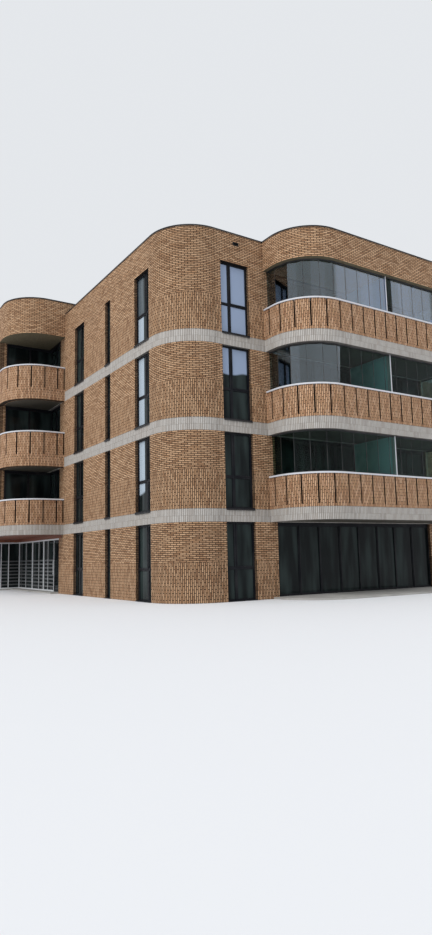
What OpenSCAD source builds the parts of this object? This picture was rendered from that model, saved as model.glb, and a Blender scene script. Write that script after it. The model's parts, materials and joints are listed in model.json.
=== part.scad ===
/* [Plan] */
// Width of the main block, left to right
core_w = 15760; // [15000:20:17000]
// Length of the main block, front to back
core_l = 28650; // [27800:50:32000]
// Radius of every rounded brick corner
corner_r = 1600; // [1300:50:1750]
// Width of each projecting wing
wing_w = 8380; // [7800:20:8600]
// Projection of the front and back wings
front_depth = 2070; // [1950:10:2400]
// Projection of the side wings
side_depth = 2400; // [2200:10:2800]
// Half width of the closed bay in the middle of a side wing
bay_half = 2025; // [1800:25:2200]
// Reach of a side wing's raised roof back over the main roof
rise_back = 3000; // [2000:100:5000]

/* [Storeys] */
// Floor to floor height
storey_h = 3000; // [2900:10:3200]
// Height of the pale band, two bricks on end
band_h = 427; // [400:1:440]
// Brick height above the top window heads, main block
attic_h = 1127; // [1000:1:1300]
// Brick height above the top window heads, side wings
side_attic_h = 1677; // [1600:1:2000]
// Height of the dark trim on the roof edges
trim_h = 50; // [30:5:80]
// Height of the balcony parapet under its coping
parapet_h = 1085; // [1000:5:1120]
// Thickness of the parapet coping
coping_h = 55; // [50:5:100]

/* [Thicknesses] */
// Outer wall
wall_t = 350; // [300:10:400]
// Balcony parapet
parapet_t = 270; // [240:10:300]
// Floor between storeys
floor_t = 250; // [200:10:300]
// Balcony slab
slab_t = 400; // [300:10:420]
// Ground floor slab
ground_t = 60; // [50:5:100]
// Movement joint in the brick
seam_w = 8; // [6:1:12]

/* [Windows] */
// Front window, near side measured from the corner
front_win_from = 1860; // [1800:10:1950]
// Front window, far side measured from the corner
front_win_to = 3020; // [2900:10:3100]
// Depth of the window in its opening
reveal = 110; // [80:5:140]
// Width of a frame bar
bar_w = 60; // [45:1:70]
// Depth of a frame bar
bar_d = 75; // [60:1:90]
// Width of the upright bar between two lights
mullion_w = 100; // [60:5:120]
// Height of the crossbar over the floor
transom_z = 1030; // [900:10:1150]
// Height of the crossbar itself
transom_h = 80; // [60:5:100]
// Upright bar measured from the side of the window next to the corner
narrow_w = 350; // [300:10:400]
// Thickness of a window pane
pane_t = 24; // [20:1:30]

/* [Balconies] */
// Slots in each half of a front or back parapet
slots_half = 10; // [8:1:12]
// Slots in each half of a side parapet, beside the bay
side_slots = 6; // [5:1:6]
// Distance between the slots of a side parapet
side_pitch = 598; // [560:2:620]
// Width of a slot
slot_w = 60; // [45:1:70]
// Solid brick below the slots
slot_base = 100; // [80:5:150]
// Glass set in from the wall face
glass_inset = 170; // [150:5:200]
// Thickness of the balcony glass
glass_t = 12; // [10:1:16]
// Width of a flat glass panel on the straight
panel_w = 575; // [560:5:600]
// Thickness of the privacy screen
screen_t = 30; // [20:1:40]

/* [Entrance] */
// Width of the door leaf
leaf_w = 870; // [800:10:900]
// Height of the door leaf
leaf_h = 2300; // [2050:10:2320]
// Gap around the door leaf
leaf_gap = 8; // [6:1:12]
// Height of the entrance screen over the ground
screen_h = 2440; // [2400:10:2500]
// Width of a slender post
post_w = 45; // [35:1:60]
// Width of a main post
main_post_w = 90; // [60:5:110]

/* [Hidden] */
$fn = 96;

storeys = 4;
eps = 20;

// Storey heights
opening_h = storey_h - band_h;
attic_z = storeys * storey_h - band_h;
roof_z = attic_z + attic_h;
side_roof_z = attic_z + side_attic_h;
ceiling_t = 300;
deck_t = 250;
deck_drop = 200;
side_deck_drop = 100;
deck_z = roof_z - trim_h - deck_drop - deck_t;
side_deck_z = side_roof_z - trim_h - side_deck_drop - deck_t;
trim_out = 15;
coping_out = 30;

// Side windows measured from the corner: near side, far side, place of the upright bar
side_windows = [[1776, 2918, narrow_w], [5070, 5575, 0], [7820, 8910, 545]];
front_window = [front_win_from, front_win_to, narrow_w];

// Window in the brick front of a bay
bay_win = 1800;

// Openings behind the wings, measured from the corner
front_open = (core_w - wing_w) / 2 + parapet_t;
side_open = (core_l - wing_w) / 2 + 585;
door_head = 120;
front_lights = 8;
side_lights = 2;

// Overflow hole in the roof edge, measured from the corner
outlet_x = 2400;
outlet_w = 230;
outlet_z = roof_z - 450;
outlet_h = 110;
liner_t = 12;

// Balcony glass stands on the coping and meets the soffit above; flat panels follow the
// rounded corner in equal facets
rail_w = 40;
rail_h = 45;
facets = 4;
straight_panels = 4;
glass_gap = 6;

// Privacy screen from the glazing to the inner edge of the coping
screen_gap = 5;
screen_reach = front_depth - parapet_t - coping_out + reveal - 2 * screen_gap;

// Entrance screen in the wall under a side wing, measured from the front end: where each
// post starts, and its width
screen_len = core_l - 2 * side_open;
door_to = bar_w + leaf_w + 2 * leaf_gap;
screen_posts = [[0, bar_w], [door_to, post_w], [1790, post_w], [2340, main_post_w],
    [3140, post_w], [4070, main_post_w], [5220, post_w], [6340, post_w],
    [screen_len - bar_w, bar_w]];
post_out = 25;
slat_h = 70;
slat_t = 30;
slat_in = 5;
slat_pitch = 170;
slats = 8;
slat_z = 235;
leaf_bar = 70;
leaf_d = 50;
thin_t = 12;
threshold = 350;
kerb = 30;
board_t = 27;
fascia_t = 20;

// End screen, square to the far part of the entrance screen
end_x = 6340;
end_posts = concat([[0, post_w]], [for (i = [1:5]) [170 + 385 * i, post_w]]);
end_len = end_posts[5][0] + post_w;

timber = "#6e4232";
brick = "#b08c6c";
pale = "#bab6b0";
dark = "#22252b";
glass_c = "#6a7c88";
metal = "#c8c8cc";

// Repeats its children in all four corners of the plan
module corners() {
    for (mx = [0, 1]) for (my = [0, 1]) mirror([mx, 0, 0]) mirror([0, my, 0]) children();
}

// Places children drawn with x along the wall and y outwards at one face of the block
module at_front() translate([0, -core_l / 2, 0]) rotate(180) children();
module at_back() translate([0, core_l / 2, 0]) children();
module at_left() translate([-core_w / 2, 0, 0]) rotate(90) children();
module at_right() translate([core_w / 2, 0, 0]) rotate(-90) children();

// Plan of the block, drawn in by an inset
module core_outline(inset) {
    r = corner_r - inset;
    x = core_w / 2 - corner_r;
    y = core_l / 2 - corner_r;
    square([2 * x, 2 * (y + r)], center = true);
    square([2 * (x + r), 2 * y], center = true);
    for (sx = [-1, 1]) for (sy = [-1, 1]) translate([sx * x, sy * y]) circle(r);
}

// Plan of a wing with rounded outer corners, from a depth behind the wall plane
module wing_outline(depth, inset, behind) {
    r = corner_r - inset;
    x = wing_w / 2 - corner_r;
    y = depth - corner_r;
    translate([-x - r, -behind]) square([2 * (x + r), y + behind]);
    translate([-x, -behind]) square([2 * x, y + r + behind]);
    for (s = [-1, 1]) translate([s * x, y]) circle(r);
}

module prism(z, h) translate([0, 0, z]) linear_extrude(h) children();

// Ring wall of the block
module core_ring(z, h) {
    prism(z, h) difference() {
        core_outline(0);
        core_outline(wall_t);
    }
}

// Movement joints through the ring wall at both ends of every rounded corner
module core_seams(z, h) {
    x = core_w / 2 - corner_r;
    y = core_l / 2 - corner_r;
    prism(z - eps, h + 2 * eps) {
        for (s = [-x, x]) translate([s, 0]) square([seam_w, core_l + 2 * eps], center = true);
        for (s = [-y, y]) translate([0, s]) square([core_w + 2 * eps, seam_w], center = true);
    }
}

// Curved wall around three sides of a wing
module wing_wall(depth, z, h, thick = parapet_t, outset = 0) {
    prism(z, h) difference() {
        intersection() {
            wing_outline(depth, -outset, 0);
            translate([-wing_w, 0]) square([2 * wing_w, 2 * depth]);
        }
        wing_outline(depth, thick, eps);
    }
}

// Slab inside the curved wall of a wing
module wing_slab(depth, z, h) {
    prism(z, h) intersection() {
        wing_outline(depth, parapet_t, 0);
        translate([-wing_w, 0]) square([2 * wing_w, 2 * depth]);
    }
}

// Point and direction at a distance s along a wing's outer face from its middle
function path_at(depth, s) =
    let (flat = wing_w / 2 - corner_r, arc = PI * corner_r / 2, side = depth - corner_r)
    s < flat ? [s, depth, 0] :
    s < flat + arc ?
        let (a = (s - flat) / corner_r * 180 / PI)
        [flat + corner_r * sin(a), side + corner_r * cos(a), -a] :
    [wing_w / 2, side - (s - flat - arc), -90];

function path_half(depth) = wing_w / 2 - corner_r + PI * corner_r / 2 + depth - corner_r;

// Cut of one width through a parapet at a distance s from the middle of its wing
module parapet_cut(depth, s, w, z, h) {
    for (m = [0, 1]) mirror([m, 0, 0]) {
        p = path_at(depth, s);
        translate([p[0], p[1], z]) rotate(p[2])
            translate([-w / 2, -parapet_t - eps, 0]) cube([w, parapet_t + 2 * eps, h]);
    }
}

// Slots, and below each a movement joint; the first is counted from the wall
module slots(depth, z, foot, first, pitch, count) {
    for (i = [0:count - 1]) {
        s = path_half(depth) - first - i * pitch;
        parapet_cut(depth, s, slot_w, z + slot_base, parapet_h);
        parapet_cut(depth, s, seam_w, z - foot - eps, foot + slot_base + 2 * eps);
    }
}

// Rectangular opening through the outer wall, from a to b along it
module wall_cut(a, b, z, h) translate([a, -eps, z]) cube([b - a, wall_t + 2 * eps, h]);

// Places children drawn with x from the corner and y inwards on the front or the side
module on_front() translate([-core_w / 2, -core_l / 2, 0]) children();
module on_side() translate([-core_w / 2, -core_l / 2, 0]) mirror([1, -1, 0]) children();

// Brick between the openings of one storey
module piers(k) {
    difference() {
        wall_storey(k);
        core_seams(k * storey_h, opening_h);
    }
}
module wall_storey(k) {
    z = k * storey_h;
    difference() {
        core_ring(z, opening_h);
        corners() {
            on_front() wall_cut(front_window[0], front_window[1], z - eps, opening_h + 2 * eps);
            on_front() wall_cut(front_open, core_w / 2 + eps, z - eps, opening_h + 2 * eps);
            for (w = side_windows)
                on_side() wall_cut(w[0], w[1], z - eps, opening_h + 2 * eps);
            on_side() wall_cut(side_open, core_l / 2 + eps, z - eps, opening_h + 2 * eps);
        }
    }
}

// Fixed window frame with a crossbar and, where first > 0, one upright bar
module window_frame(w, first) {
    h = opening_h;
    for (x = [0, w - bar_w]) translate([x, reveal, 0]) cube([bar_w, bar_d, h]);
    for (z = [0, h - bar_w]) translate([0, reveal, z]) cube([w, bar_d, bar_w]);
    translate([0, reveal, transom_z]) cube([w, bar_d, transom_h]);
    if (first > 0) translate([first, reveal, 0]) cube([mullion_w, bar_d, h]);
    translate([0, -coping_out, 0]) cube([w, reveal + coping_out, bar_w / 2]);
}

// Panes between the bars of a window frame
module window_panes(w, first) {
    xs = first > 0 ? [[bar_w, first], [first + mullion_w, w - bar_w]] : [[bar_w, w - bar_w]];
    zs = [[bar_w, transom_z], [transom_z + transom_h, opening_h - bar_w]];
    for (x = xs) for (z = zs)
        translate([x[0], reveal + (bar_d - pane_t) / 2, z[0]])
            cube([x[1] - x[0], pane_t, z[1] - z[0]]);
}

function foot_z(k) = k == 0 ? ground_t : 0;

// Full height glazing of n equal lights along x, with its bars, on the ground slab or a floor
module glazing_frame(len, n, k) translate([0, 0, foot_z(k)]) {
    step = (len - bar_w) / n;
    h = opening_h - foot_z(k);
    for (i = [0:n]) translate([i * step, 0, 0]) cube([bar_w, bar_d, h]);
    cube([len, bar_d, bar_w]);
    translate([0, 0, h - door_head]) cube([len, bar_d, door_head]);
}

module glazing_panes(len, n, k) translate([0, 0, foot_z(k)]) {
    step = (len - bar_w) / n;
    h = opening_h - foot_z(k);
    for (i = [0:n - 1])
        translate([i * step + bar_w, (bar_d - pane_t) / 2, bar_w])
            cube([step - bar_w, pane_t, h - bar_w - door_head]);
}

// Runs its children for the balcony glazing of one storey: behind the front and back
// wings, beside both bays in the wall plane, and along the bays' sides
module front_glazing_place(k) {
    for (m = [0, 1]) mirror([0, m, 0])
        translate([front_open - core_w / 2, reveal - core_l / 2, k * storey_h]) children();
}
module side_glazing_place(k) {
    corners() translate([0, 0, k * storey_h]) on_side()
        translate([side_open, reveal, 0]) children();
}
module bay_side_place(k, m) {
    mirror([0, m, 0]) translate([0, 0, k * storey_h]) at_left()
        translate([-bay_half, 0, 0]) rotate(90) mirror([0, 1, 0])
            translate([-reveal - bar_d, 0, 0]) children();
}
front_glazing_len = core_w - 2 * front_open;
side_glazing_len = core_l / 2 - side_open - bay_half;
bay_side_len = side_depth - wall_t + reveal + bar_d;

// Runs its children along both sides of both bays
module all_bay_sides(k) {
    for (m = [0, 1]) {
        bay_side_place(k, m) children();
        mirror([1, 0, 0]) bay_side_place(k, m) children();
    }
}

// Main floors and roof
module ground_slab() color("gray") {
    difference() {
        union() {
            prism(0, ground_t) core_outline(0);
            at_front() prism(0, ground_t) wing_outline(front_depth, 0, wall_t);
            at_back() prism(0, ground_t) wing_outline(front_depth, 0, wall_t);
            translate([-core_w / 2 - threshold, -screen_len / 2, 0])
                cube([core_w + 2 * threshold, screen_len, ground_t]);
            screen_place() translate([end_x - kerb, -end_len - kerb, 0])
                cube([bar_d + 2 * kerb, end_len, ground_t]);
        }
        wall_storey(0);
        corners() on_front() wall_cut(front_window[0], front_window[1], -eps, opening_h);
        corners() for (w = side_windows) on_side() wall_cut(w[0], w[1], -eps, opening_h);
    }
}
module storey_floor(k) color("gray") prism(k * storey_h - floor_t, floor_t) core_outline(wall_t);
module floor_1() storey_floor(1);
module floor_2() storey_floor(2);
module floor_3() storey_floor(3);
module roof_deck() color("dimgray") {
    prism(deck_z, deck_t) {
        core_outline(wall_t);
        at_front() wing_outline(front_depth, parapet_t, wall_t + eps);
        at_back() wing_outline(front_depth, parapet_t, wall_t + eps);
    }
    for (m = [0, 1]) mirror([m, 0, 0])
        at_left() prism(side_deck_z, deck_t) wing_outline(side_depth, parapet_t,
            rise_back - parapet_t);
}

// Brick of the four storeys
module brick_piers_1() color(brick) piers(0);
module brick_piers_2() color(brick) piers(1);
module brick_piers_3() color(brick) piers(2);
module brick_piers_4() color(brick) piers(3);

// Brick above the top windows, cut away where a wing's roof runs through
module roof_parapet() color(brick) {
    difference() {
        core_ring(attic_z, attic_h - trim_h);
        for (m = [0, 1]) mirror([0, m, 0]) at_front()
            translate([parapet_t - wing_w / 2, -wall_t - eps, deck_z])
                cube([wing_w - 2 * parapet_t, wall_t + 2 * eps, attic_h]);
        for (m = [0, 1]) mirror([m, 0, 0]) at_left()
            translate([-wing_w / 2, -wall_t - eps, deck_z + deck_t])
                cube([wing_w, wall_t + 2 * eps, attic_h]);
        corners() on_front() wall_cut(outlet_x, outlet_x + outlet_w, outlet_z, outlet_h);
        core_seams(attic_z, attic_h);
    }
}

// Dark metal edge on the roofs
module roof_trim() color(dark) {
    difference() {
        prism(roof_z - trim_h, trim_h) difference() {
            union() {
                core_outline(-trim_out);
                at_front() wing_outline(front_depth, -trim_out, 0);
                at_back() wing_outline(front_depth, -trim_out, 0);
            }
            core_outline(wall_t);
            at_front() wing_outline(front_depth, parapet_t, wall_t + eps);
            at_back() wing_outline(front_depth, parapet_t, wall_t + eps);
        }
        for (m = [0, 1]) mirror([m, 0, 0]) at_left()
            translate([-wing_w / 2, -wall_t - eps, roof_z - trim_h - eps])
                cube([wing_w, wall_t + 3 * eps, trim_h + 2 * eps]);
    }
    for (m = [0, 1]) mirror([m, 0, 0]) at_left()
        prism(side_roof_z - trim_h, trim_h) difference() {
            wing_outline(side_depth, -trim_out, rise_back + trim_out);
            wing_outline(side_depth, parapet_t, rise_back - parapet_t);
        }
}

// Pale bands of bricks on end
module band(k) color(pale) {
    z = k * storey_h - band_h;
    difference() {
        core_ring(z, band_h);
        core_seams(z, band_h);
    }
    at_front() wing_wall(front_depth, z, band_h);
    at_back() wing_wall(front_depth, z, band_h);
    if (k == 1) {
        at_left() wing_wall(side_depth, z, band_h);
        at_right() wing_wall(side_depth, z, band_h);
    }
}
module white_band_1() band(1);
module white_band_2() band(2);
module white_band_3() band(3);

// Balcony slabs
module slab_set(depth) color("dimgray")
    for (k = [1:storeys - 1]) wing_slab(depth, k * storey_h - slab_t, slab_t);
module front_slabs() at_front() slab_set(front_depth);
module back_slabs() at_back() slab_set(front_depth);
module left_slabs() at_left() slab_set(side_depth);
module right_slabs() at_right() slab_set(side_depth);

// Slotted brick parapets
module front_parapet_set() color(brick) {
    pitch = path_half(front_depth) / slots_half;
    for (k = [1:storeys - 1]) difference() {
        wing_wall(front_depth, k * storey_h, parapet_h);
        slots(front_depth, k * storey_h, 0, pitch / 2, pitch, slots_half);
    }
}
module side_parapet_set() color(brick) {
    for (k = [1:storeys - 1]) {
        z = k * storey_h;
        foot = k == 1 ? 0 : band_h;
        difference() {
            wing_wall(side_depth, z - foot, parapet_h + foot);
            slots(side_depth, z, foot, side_pitch * 0.545, side_pitch, side_slots);
            parapet_cut(side_depth, path_half(side_depth) - slot_w / 2, slot_w,
                z + slot_base, parapet_h);
            parapet_cut(side_depth, bay_half, seam_w, z - foot - eps, foot + 2 * eps);
            bay_gap(z, parapet_h + eps);
        }
    }
}
module bay_gap(z, h) translate([-bay_half, side_depth - parapet_t - 2 * eps, z])
    cube([2 * bay_half, parapet_t + 4 * eps, h]);
module front_parapets() at_front() front_parapet_set();
module back_parapets() at_back() front_parapet_set();
module left_parapets() at_left() side_parapet_set();
module right_parapets() at_right() side_parapet_set();

// Pale copings on the parapets
module coping(depth, z) wing_wall(depth, z, coping_h, parapet_t + coping_out, coping_out);
module copings() color(metal) {
    for (k = [1:storeys - 1]) {
        z = k * storey_h + parapet_h;
        for (m = [0, 1]) mirror([0, m, 0]) at_front() coping(front_depth, z);
        for (m = [0, 1]) mirror([m, 0, 0]) at_left() difference() {
            coping(side_depth, z);
            bay_gap(z - eps, coping_h + 2 * eps);
        }
    }
}

// Brick over the top balconies, with the ceiling inside it
module front_attic_shape() color(brick) {
    wing_wall(front_depth, attic_z, attic_h - trim_h);
    wing_slab(front_depth, attic_z, ceiling_t);
}
module side_attic_shape() color(brick) {
    wing_wall(side_depth, attic_z, side_attic_h - trim_h);
    wing_slab(side_depth, attic_z, ceiling_t);
    z = deck_z + deck_t;
    prism(z, side_roof_z - trim_h - z) difference() {
        translate([-wing_w / 2, -rise_back]) square([wing_w, rise_back]);
        translate([parapet_t - wing_w / 2, parapet_t - rise_back])
            square([wing_w - 2 * parapet_t, rise_back]);
    }
}
module front_attic() at_front() front_attic_shape();
module back_attic() at_back() front_attic_shape();
module left_attic() at_left() side_attic_shape();
module right_attic() at_right() side_attic_shape();

// Line of the balcony glass: d is a distance outwards from its middle. Point i of a
// rounded corner lies on an arc, moved out along the line that halves its angle
glass_r = corner_r - glass_inset;
glass_x = wing_w / 2 - corner_r;
glass_y = front_depth - corner_r;
turn = 90 / facets;
function glass_point(i, d) =
    let (a = 90 - i * turn, end = i == 0 || i == facets, half = end ? turn / 4 : turn / 2,
        n = i == 0 ? a - half : i == facets ? half : a)
    [glass_x + glass_r * sin(a) + d / cos(half) * sin(n),
        glass_y + glass_r * cos(a) + d / cos(half) * cos(n)];
function half_line(d) =
    concat([[glass_x + glass_r + d, 0]], [for (i = [0:facets]) glass_point(i, d)]);
function turned(line) = [for (i = [len(line) - 1:-1:0]) line[i]];
function full_line(d) = concat(half_line(d), [for (p = turned(half_line(d))) [-p[0], p[1]]]);
module glass_line(w) polygon(concat(full_line(w / 2), turned(full_line(-w / 2))));

// Frameless glass in flat panels, standing on the front and back copings
module flat_panel(a, b, z, h) {
    d = b - a;
    translate([a[0], a[1], z]) rotate(atan2(d[1], d[0]))
        translate([glass_gap / 2, -glass_t / 2, 0]) cube([norm(d) - glass_gap, glass_t, h]);
}
module glass_set() color(glass_c) {
    y = glass_y + glass_r;
    line = concat(half_line(0), [for (j = [1:straight_panels]) [glass_x - j * panel_w, y]]);
    last = line[len(line) - 1];
    for (k = [1:storeys - 1]) {
        z = k * storey_h + parapet_h + coping_h + rail_h;
        h = (k + 1) * storey_h - band_h - rail_h - z;
        for (m = [0, 1]) mirror([m, 0, 0]) for (i = [0:len(line) - 2])
            flat_panel(line[i], line[i + 1], z, h);
        flat_panel(last, [-last[0], y], z, h);
    }
}
module front_balcony_glass() at_front() glass_set();
module back_balcony_glass() at_back() glass_set();
module glass_rails() color(dark) {
    for (m = [0, 1]) mirror([0, m, 0]) at_front() for (k = [1:storeys - 1]) {
        z = k * storey_h + parapet_h + coping_h;
        prism(z, rail_h) glass_line(rail_w);
        prism((k + 1) * storey_h - band_h - rail_h, rail_h) glass_line(rail_w);
    }
}

// Frosted screens between neighbouring balconies
module privacy_screens() color("#4c7f88") {
    for (m = [0, 1]) mirror([0, m, 0]) at_front() for (k = [1:storeys - 1])
        translate([-screen_t / 2, screen_gap - reveal, k * storey_h])
            cube([screen_t, screen_reach, opening_h]);
}

// Window frames on each face
module front_frames() {
    for (m = [0, 1]) mirror([m, 0, 0]) for (k = [0:storeys - 1])
        translate([0, 0, k * storey_h]) on_front()
            translate([front_window[0], 0, 0])
                window_frame(front_window[1] - front_window[0], front_window[2]);
}
module left_frames() {
    for (m = [0, 1]) mirror([0, m, 0]) for (k = [0:storeys - 1]) for (w = side_windows)
        translate([0, 0, k * storey_h]) on_side() translate([w[0], 0, 0])
            window_frame(w[1] - w[0], w[2]);
}
module bay_window_place() {
    at_left() translate([-bay_win / 2, side_depth, 0]) mirror([0, 1, 0]) children();
}
module bay_frames() {
    for (k = [1:storeys - 1]) translate([0, 0, k * storey_h])
        bay_window_place() window_frame(bay_win, (bay_win - mullion_w) / 2);
}
module front_window_frames() color(dark) front_frames();
module back_window_frames() color(dark) mirror([0, 1, 0]) front_frames();
module left_window_frames() color(dark) {
    left_frames();
    bay_frames();
}
module right_window_frames() color(dark) mirror([1, 0, 0]) {
    left_frames();
    bay_frames();
}
module window_glass() color(glass_c) {
    for (k = [0:storeys - 1]) translate([0, 0, k * storey_h]) {
        corners() on_front() translate([front_window[0], 0, 0])
            window_panes(front_window[1] - front_window[0], front_window[2]);
        corners() for (w = side_windows) on_side() translate([w[0], 0, 0])
            window_panes(w[1] - w[0], w[2]);
        if (k > 0) for (m = [0, 1]) mirror([m, 0, 0]) bay_window_place()
            window_panes(bay_win, (bay_win - mullion_w) / 2);
    }
}

// Full height glazing behind the balconies
module balcony_door_frames() color(dark) {
    for (k = [0:storeys - 1]) {
        front_glazing_place(k) glazing_frame(front_glazing_len, front_lights, k);
        if (k > 0) side_glazing_place(k) glazing_frame(side_glazing_len, side_lights, k);
    }
}
module bay_side_frames() color(dark) {
    for (k = [1:storeys - 1]) all_bay_sides(k) glazing_frame(bay_side_len, side_lights, k);
}
module balcony_door_glass() color(glass_c) {
    for (k = [0:storeys - 1]) {
        front_glazing_place(k) glazing_panes(front_glazing_len, front_lights, k);
        if (k > 0) {
            side_glazing_place(k) glazing_panes(side_glazing_len, side_lights, k);
            all_bay_sides(k) glazing_panes(bay_side_len, side_lights, k);
        }
    }
}

// Brick front of the bays on both sides of one window in each upper storey
module bay_walls() color(brick) {
    for (m = [0, 1]) mirror([m, 0, 0]) at_left() for (k = [1:storeys - 1])
        for (n = [0, 1]) mirror([n, 0, 0])
            translate([bay_win / 2, side_depth - wall_t, k * storey_h])
                cube([bay_half - bay_win / 2, wall_t, opening_h]);
}

// Boarded ceilings under the side wings, with a fascia over the screens
module wing_ceilings() color(timber) {
    inner = wing_w / 2 - parapet_t;
    for (m = [0, 1]) mirror([m, 0, 0]) at_left() {
        wing_slab(side_depth, opening_h, board_t);
        translate([-inner, 0, screen_h]) cube([2 * inner, fascia_t, opening_h - screen_h]);
        translate([-screen_len / 2, -reveal - bar_d, screen_h])
            cube([screen_len, reveal + bar_d, opening_h - screen_h]);
    }
    screen_place() translate([end_x, -end_len, screen_h])
        cube([bar_d, end_len - reveal - fascia_t - 1, opening_h - screen_h - 1]);
}

// Screens under the side wings: x runs along the wall, y inwards. Slats stand in front
// of the panes in the lower half
module screen_place()
    translate([reveal - core_w / 2, -screen_len / 2, 0]) rotate(90) mirror([0, 1, 0])
        children();
module end_place() screen_place() translate([end_x, 0, 0]) rotate(-90) children();
head_z = ground_t + leaf_h + 2 * leaf_gap;
module screen_bars(len, from, posts) {
    translate([0, 0, head_z]) cube([len, bar_d, screen_h - head_z]);
    translate([from, 0, ground_t]) cube([len - from, bar_d, bar_w]);
    for (p = posts) {
        out = p[1] == main_post_w ? post_out : 0;
        translate([p[0], -out, ground_t]) cube([p[1], bar_d + out, screen_h - ground_t]);
    }
    for (i = [0:slats - 1]) translate([from, slat_in, slat_z + i * slat_pitch])
        cube([len - from, slat_t, slat_h]);
}
module entrance_screen() color(metal) screen_place()
    screen_bars(screen_len, door_to, screen_posts);

// Fixed screens: one like it under the other wing, and the end screen
module wing_screens() color(metal) {
    mirror([1, 0, 0]) screen_place() screen_bars(screen_len, 0, screen_posts);
    end_place() screen_bars(end_len, 0, end_posts);
}
module screen_panes(posts, first) {
    z = ground_t + bar_w;
    for (i = [first:len(posts) - 2]) {
        from = posts[i][0] + posts[i][1];
        translate([from, slat_in + slat_t + 10, z])
            cube([posts[i + 1][0] - from, thin_t, head_z - z]);
    }
}
module screen_glass() color(glass_c) {
    screen_place() screen_panes(screen_posts, 1);
    mirror([1, 0, 0]) screen_place() screen_panes(screen_posts, 0);
    end_place() screen_panes(end_posts, 0);
}

// Entrance door leaf in the light next to the front end of the left screen
module leaf_place() screen_place() translate([bar_w + leaf_gap, 0, ground_t + leaf_gap])
    children();
module entrance_door() color(dark) leaf_place() {
    difference() {
        cube([leaf_w, leaf_d, leaf_h]);
        translate([leaf_bar, -eps, leaf_bar])
            cube([leaf_w - 2 * leaf_bar, leaf_d + 2 * eps, leaf_h - 2 * leaf_bar]);
    }
}
module door_glass() color(glass_c) leaf_place()
    translate([leaf_bar, (leaf_d - pane_t) / 2, leaf_bar])
        cube([leaf_w - 2 * leaf_bar, pane_t, leaf_h - 2 * leaf_bar]);

// Dark liners of the overflow holes
module roof_outlets() color(dark) {
    corners() on_front() translate([outlet_x, -coping_out, outlet_z]) difference() {
        cube([outlet_w, wall_t + coping_out, outlet_h]);
        translate([liner_t, -eps, liner_t])
            cube([outlet_w - 2 * liner_t, wall_t + 3 * eps + coping_out,
                outlet_h - 2 * liner_t]);
    }
}

ground_slab();
floor_1();
floor_2();
floor_3();
roof_deck();
brick_piers_1();
brick_piers_2();
brick_piers_3();
brick_piers_4();
roof_parapet();
roof_trim();
white_band_1();
white_band_2();
white_band_3();
front_slabs();
back_slabs();
left_slabs();
right_slabs();
front_parapets();
back_parapets();
left_parapets();
right_parapets();
copings();
front_attic();
back_attic();
left_attic();
right_attic();
front_balcony_glass();
back_balcony_glass();
glass_rails();
privacy_screens();
front_window_frames();
back_window_frames();
left_window_frames();
right_window_frames();
window_glass();
balcony_door_frames();
balcony_door_glass();
bay_side_frames();
bay_walls();
wing_ceilings();
entrance_screen();
wing_screens();
screen_glass();
entrance_door();
door_glass();
roof_outlets();
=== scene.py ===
"""Looks of a brick apartment block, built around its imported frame.

Lengths are metres in the frame's own axes. The block is alike in all four quarters, so
patterns and pieces work from the distance along the wall, which runs on round the corners.
"""

import json
import math

import bpy
import numpy as np
from mathutils import Euler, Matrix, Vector


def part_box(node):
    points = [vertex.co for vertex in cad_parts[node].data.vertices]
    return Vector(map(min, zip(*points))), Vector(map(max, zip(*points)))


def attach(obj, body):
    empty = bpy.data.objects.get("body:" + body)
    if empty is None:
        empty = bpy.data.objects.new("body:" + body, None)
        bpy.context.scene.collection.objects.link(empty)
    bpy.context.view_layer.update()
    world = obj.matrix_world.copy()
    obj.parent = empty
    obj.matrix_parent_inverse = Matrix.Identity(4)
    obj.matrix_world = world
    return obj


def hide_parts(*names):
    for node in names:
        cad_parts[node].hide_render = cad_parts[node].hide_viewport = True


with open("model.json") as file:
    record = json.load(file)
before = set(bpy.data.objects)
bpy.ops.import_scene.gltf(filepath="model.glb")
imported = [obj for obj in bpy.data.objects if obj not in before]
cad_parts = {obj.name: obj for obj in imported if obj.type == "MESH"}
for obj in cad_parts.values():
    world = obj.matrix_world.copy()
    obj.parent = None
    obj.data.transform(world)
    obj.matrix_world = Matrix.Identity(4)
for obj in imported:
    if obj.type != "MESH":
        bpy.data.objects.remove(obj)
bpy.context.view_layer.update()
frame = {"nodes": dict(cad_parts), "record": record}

# Sizes read from the frame
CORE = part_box("brick_piers_1")[1]
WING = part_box("front_attic")
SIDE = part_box("left_parapets")
HALF_W, HALF_L = CORE.x, CORE.y
WING_HALF = WING[1].x
FRONT_D = -WING[0].y - HALF_L
SIDE_D = -SIDE[0].x - HALF_W
CORNER_R = 1.6
STOREY = 3.0
STOREYS = 4
TOP_FLOOR = (STOREYS - 1) * STOREY

# Brickwork
BRICK_L = 0.2135
COURSE = 0.0615
JOINT = 0.0115
BAND_H = 2 * BRICK_L
UPRIGHT_H = 6 * BRICK_L
OPENING_H = STOREY - BAND_H
ATTIC_Z = STOREYS * STOREY - BAND_H

# Balcony parapet, coping and glass
PARAPET_H = 1.085
COPING_H = 0.055
RAIL_H = 0.045
GLASS_IN = 0.17
GLASS_AT = FRONT_D - GLASS_IN
PANEL_W = 0.575
FIRST_JOINT = 0.29
STRAIGHT_JOINTS = 5
ARC_PANELS = 4

# How far past the block's faces a point has to be, to be on a wing
PAST_FACE = 0.002

# Windows as the frame has them: near side, far side and upright bar, from the corner
BAR = 0.06
MULLION = 0.10
REVEAL = 0.11
TRANSOM = (1.03, 1.11)
FRONT_WINDOW = (1.86, 3.02, 0.35)
DOOR_HEAD = 0.12
GROUND = 0.06
SIDE_WINDOWS = ((1.776, 2.918, 0.35), (5.07, 5.575, 0.0), (7.82, 8.91, 0.545))
BAY_HALF = 2.025
BAY_WALL_IN = 0.185
BAY_WINDOW = (-0.9, 0.9, 0.85)

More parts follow.
